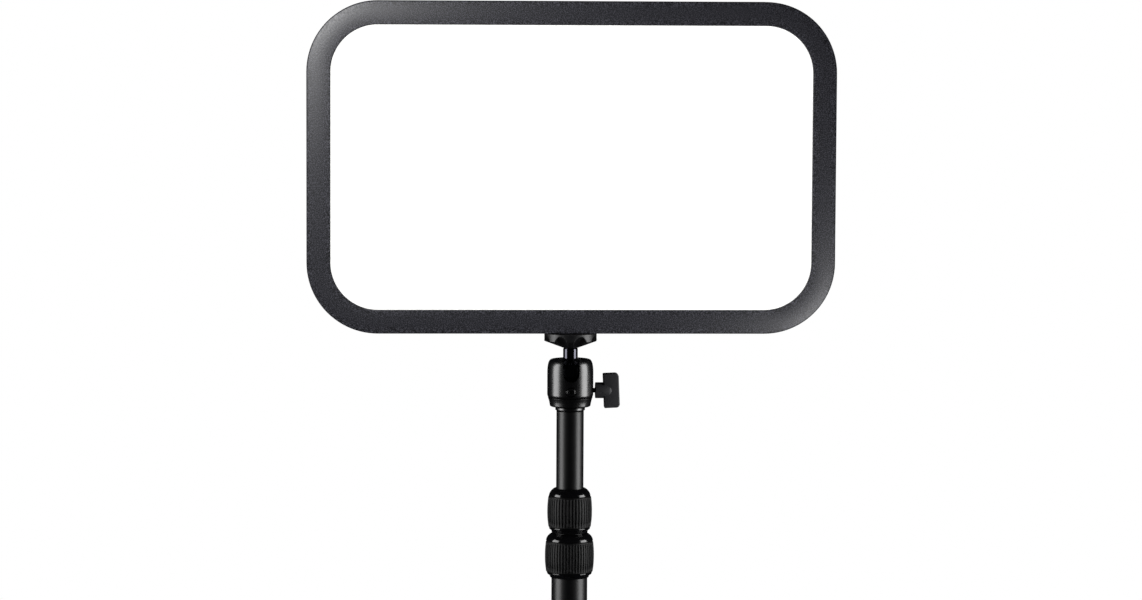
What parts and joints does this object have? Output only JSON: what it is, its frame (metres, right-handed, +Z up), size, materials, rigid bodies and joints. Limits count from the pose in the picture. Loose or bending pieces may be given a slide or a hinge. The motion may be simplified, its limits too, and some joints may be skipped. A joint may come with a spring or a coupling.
{
  "type": "led panel light",
  "caption": "Rounded flat LED panel light on a ball head and a telescopic pole with twist collars and a desk clamp.",
  "frame": {"origin": "on the pole's axis, on the underside of the rubber under the clamp's upper jaw, where it rests on a desk", "axes": "+Z up along the pole; -Y towards the side that the panel lights; +X to the right seen from that side, where the lock knob is"},
  "size_m": [0.365, 0.074, 0.9177],
  "materials": {
    "panel_coat": "satin fine-grained powder coat",
    "cover_plastic": "fine moulded texture",
    "opal_acrylic": "opal, satin",
    "clear_acrylic": "clear, polished",
    "white_film": "white reflective film",
    "circuit_board": "green solder mask",
    "bare_aluminium": "machined or rolled",
    "screw_steel": "machined",
    "black_plastic": "moulded, satin",
    "gloss_black": "moulded, glossy",
    "black_rubber": "matte",
    "black_chrome": "polished dark chrome plate",
    "black_anodised": "satin black anodised",
    "nylon": "moulded natural nylon",
    "brass": "machined",
    "clamp_coat": "black powder coat"
  },
  "bodies": {
    "clamp": {"clamp_bracket": "clamp_coat", "jaw_pad": "black_rubber", "pole_socket": "black_anodised", "socket_screw_1": "screw_steel", "socket_screw_2": "screw_steel", "bottom_tube": "black_anodised", "bottom_tube_plug": "nylon", "lower_thread_bush": "nylon", "lower_collet": "nylon"},
    "press_pad": {"spindle_pad": "clamp_coat", "pad_rubber": "black_rubber"},
    "spindle": {"clamp_spindle": "screw_steel", "clamp_knob": "black_plastic"},
    "pole_lock": {"pole_thumb_screw": "black_plastic"},
    "lower_collar": {"lower_collar_shell": "gloss_black", "lower_collar_grip": "black_rubber"},
    "mid_stage": {"mid_tube": "black_anodised", "mid_tube_foot": "nylon", "upper_thread_bush": "nylon", "upper_collet": "nylon"},
    "upper_collar": {"upper_collar_shell": "gloss_black", "upper_collar_grip": "black_rubber"},
    "top_stage": {"top_tube": "black_anodised", "top_tube_foot": "nylon", "head_spigot": "black_anodised"},
    "head": {"ball_housing": "black_anodised", "housing_pin": "black_anodised", "pressure_cup": "bare_aluminium", "housing_cap": "black_anodised"},
    "lock_knob": {"lock_knob": "black_plastic", "lock_screw": "screw_steel"},
    "ball_seat": {"ball_seat": "nylon"},
    "ball_stud": {"ball_stud": "black_chrome"},
    "lock_wheel": {"lock_wheel": "black_anodised", "wheel_pad": "black_rubber"},
    "panel": {"front_bezel": "panel_coat", "rear_cover": "cover_plastic", "diffuser_plate": "opal_acrylic", "light_guide": "clear_acrylic", "reflector_sheet": "white_film", "led_strip_left": "circuit_board", "led_strip_right": "circuit_board", "heat_spreader": "bare_aluminium", "driver_board": "circuit_board", "driver_coil": "black_plastic", "driver_capacitor": "bare_aluminium", "control_board": "circuit_board", "dc_socket": "black_plastic", "stud_insert": "brass", "cover_screw_1": "screw_steel", "cover_screw_2": "screw_steel", "cover_screw_3": "screw_steel", "cover_screw_4": "screw_steel", "cover_screw_5": "screw_steel", "cover_screw_6": "screw_steel"},
    "power_button": {"power_button": "gloss_black"},
    "brightness_dial": {"brightness_dial": "black_anodised"},
    "colour_dial": {"colour_dial": "black_anodised"}
  },
  "joints": [
    {"name": "clamp_travel", "type": "slide", "parent": "clamp", "child": "press_pad", "axis": [0, 0, 1], "range_m": [-0.025, 0.039]},
    {"name": "spindle_turn", "type": "hinge", "parent": "press_pad", "child": "spindle", "pos_m": [0, -0.012, -0.1], "axis": [0, 0, 1], "range_deg": [-6010, 9370]},
    {"name": "pole_lock_turn", "type": "hinge", "parent": "clamp", "child": "pole_lock", "pos_m": [0.02, 0, 0.0361], "axis": [1, 0, 0], "range_deg": [-270, 90]},
    {"name": "lower_collar_twist", "type": "hinge", "parent": "clamp", "child": "lower_collar", "pos_m": [0, 0, 0.38], "axis": [0, 0, 1], "range_deg": [0, 180]},
    {"name": "mid_slide", "type": "slide", "parent": "clamp", "child": "mid_stage", "axis": [0, 0, 1], "range_m": [0, 0.29]},
    {"name": "upper_collar_twist", "type": "hinge", "parent": "mid_stage", "child": "upper_collar", "pos_m": [0, 0, 0.412], "axis": [0, 0, 1], "range_deg": [0, 180]},
    {"name": "top_slide", "type": "slide", "parent": "mid_stage", "child": "top_stage", "axis": [0, 0, 1], "range_m": [-0.0535, 0.245]},
    {"name": "head_pan", "type": "hinge", "parent": "top_stage", "child": "head", "pos_m": [0, 0, 0.4858], "axis": [0, 0, 1], "continuous": true},
    {"name": "lock_knob_turn", "type": "hinge", "parent": "head", "child": "lock_knob", "pos_m": [0.0228, 0, 0.4971], "axis": [1, 0, 0], "range_deg": [-270, 90]},
    {"name": "ball_roll", "type": "hinge", "parent": "head", "child": "ball_seat", "pos_m": [0, 0, 0.5094], "axis": [0, 1, 0], "range_deg": [-20, 20]},
    {"name": "ball_tilt", "type": "hinge", "parent": "ball_seat", "child": "ball_stud", "pos_m": [0, 0, 0.5094], "axis": [1, 0, 0], "range_deg": [-20, 90]},
    {"name": "lock_wheel_turn", "type": "hinge", "parent": "ball_stud", "child": "lock_wheel", "pos_m": [0, 0, 0.531], "axis": [0, 0, 1], "range_deg": [-180, 180]},
    {"name": "panel_pan", "type": "hinge", "parent": "ball_stud", "child": "panel", "pos_m": [0, 0, 0.5375], "axis": [0, 0, 1], "continuous": true},
    {"name": "power_press", "type": "slide", "parent": "panel", "child": "power_button", "axis": [0, -1, 0], "range_m": [0, 0.001], "stiffness_N_per_m": 800, "springref_m": -0.001},
    {"name": "brightness_turn", "type": "hinge", "parent": "panel", "child": "brightness_dial", "pos_m": [-0.027, 0.0158, 0.594], "axis": [0, 1, 0], "continuous": true},
    {"name": "colour_turn", "type": "hinge", "parent": "panel", "child": "colour_dial", "pos_m": [0.027, 0.0158, 0.594], "axis": [0, 1, 0], "continuous": true}
  ],
  "couplings": [
    {"joint": "spindle_turn", "follows": "clamp_travel", "rad_per_m": 4188.8}
  ]
}
